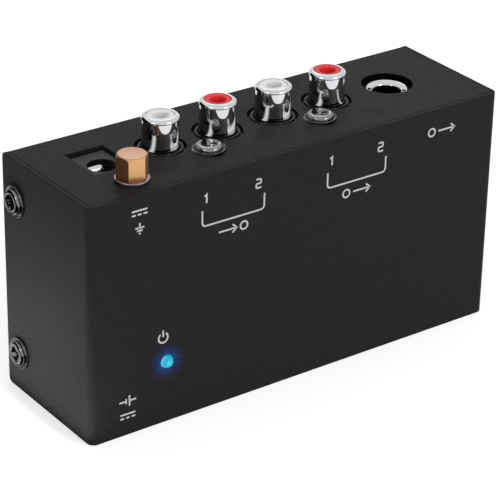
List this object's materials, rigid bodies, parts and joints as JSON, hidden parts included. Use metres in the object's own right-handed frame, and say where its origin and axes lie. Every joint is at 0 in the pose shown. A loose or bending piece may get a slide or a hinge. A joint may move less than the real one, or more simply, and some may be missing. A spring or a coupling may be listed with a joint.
{
  "type": "phono preamp",
  "caption": "Small black sheet-metal phono preamp box with pin-jack sockets, a phone jack, a power socket, a brass ground terminal, a lamp and a battery door.",
  "frame": {"origin": "centre of the narrow front panel's outer face, which it stands on", "axes": "+Z towards the connector panel, -Y is the printed face, +Y the face with the battery door and feet, X along the box"},
  "size_m": [0.112, 0.0372, 0.0634],
  "materials": {
    "powder_coat": "fine-textured black powder coat",
    "screw_steel": "bright zinc plate",
    "zinc_steel": "dull zinc plate",
    "rubber": "matte",
    "board_green": "solder mask",
    "jack_black": "satin moulding",
    "chrome_plate": "mirror plated",
    "white_plastic": "semi-gloss",
    "red_plastic": "semi-gloss",
    "bronze": "stamped",
    "brass": "turned and lightly tarnished",
    "nickel_washer": "nickel plate",
    "lamp_blue": "clear blue, lit",
    "slider_black": "fine ribs",
    "chip_black": "satin epoxy",
    "capacitor_sleeve": "shrink sleeve",
    "capacitor_red": "dipped",
    "resistor_blue": "lacquered",
    "case_plastic": "spark-textured",
    "battery_can": "printed sleeve, plain",
    "lead_red": "insulation",
    "lead_black": "insulation"
  },
  "bodies": {
    "box": {"cover": "powder_coat", "chassis": "powder_coat", "cover_screws": "screw_steel", "rubber_feet": "rubber", "circuit_board": "board_green", "clinch_standoffs": "zinc_steel", "board_screws": "screw_steel", "input_jack_block": "jack_black", "output_jack_block": "jack_black", "jack_block_screws": "screw_steel", "input_shell_left": "chrome_plate", "input_shell_right": "chrome_plate", "output_shell_left": "chrome_plate", "output_shell_right": "chrome_plate", "input_insulator_left": "white_plastic", "input_insulator_right": "red_plastic", "output_insulator_left": "white_plastic", "output_insulator_right": "red_plastic", "input_contact_left": "bronze", "input_contact_right": "bronze", "output_contact_left": "bronze", "output_contact_right": "bronze", "phone_jack_body": "jack_black", "phone_jack_ferrule": "chrome_plate", "phone_jack_tip_spring": "bronze", "phone_jack_ring_spring": "bronze", "phone_jack_sleeve_spring": "bronze", "dc_jack_body": "jack_black", "dc_jack_pin": "chrome_plate", "dc_jack_spring": "bronze", "ground_stud": "brass", "ground_lug": "zinc_steel", "ground_lock_nut": "zinc_steel", "indicator_led": "lamp_blue", "led_leads": "zinc_steel", "selector_switch_body": "zinc_steel", "op_amp_chips": "chip_black", "electrolytic_capacitors": "capacitor_sleeve", "film_capacitors": "capacitor_red", "resistors": "resistor_blue", "voltage_regulator": "chip_black", "polarity_diode": "chip_black", "battery_tray": "case_plastic", "tray_screws": "screw_steel", "battery": "battery_can", "battery_snap": "chip_black", "battery_lead_red": "lead_red", "battery_lead_black": "lead_black"},
    "captive_washer": {"ground_washer": "nickel_washer"},
    "terminal_nut": {"ground_nut": "brass"},
    "selector": {"selector_slider": "slider_black"},
    "door": {"battery_door": "case_plastic"}
  },
  "joints": [
    {"name": "nut_lift", "type": "slide", "parent": "box", "child": "captive_washer", "axis": [0, 0, 1], "range_m": [0, 0.0021]},
    {"name": "nut_turn", "type": "hinge", "parent": "captive_washer", "child": "terminal_nut", "pos_m": [-0.0394, -0.0102, 0.0568], "axis": [0, 0, 1], "range_deg": [0, 1080]},
    {"name": "selector_slide", "type": "slide", "parent": "box", "child": "selector", "axis": [1, 0, 0], "range_m": [0, 0.003]},
    {"name": "door_hinge", "type": "hinge", "parent": "box", "child": "door", "pos_m": [-0.019, 0.015, 0.0163], "axis": [0, 0, 1], "range_deg": [0, 95]}
  ],
  "couplings": [
    {"joint": "nut_turn", "follows": "nut_lift", "rad_per_m": 8975.9}
  ]
}
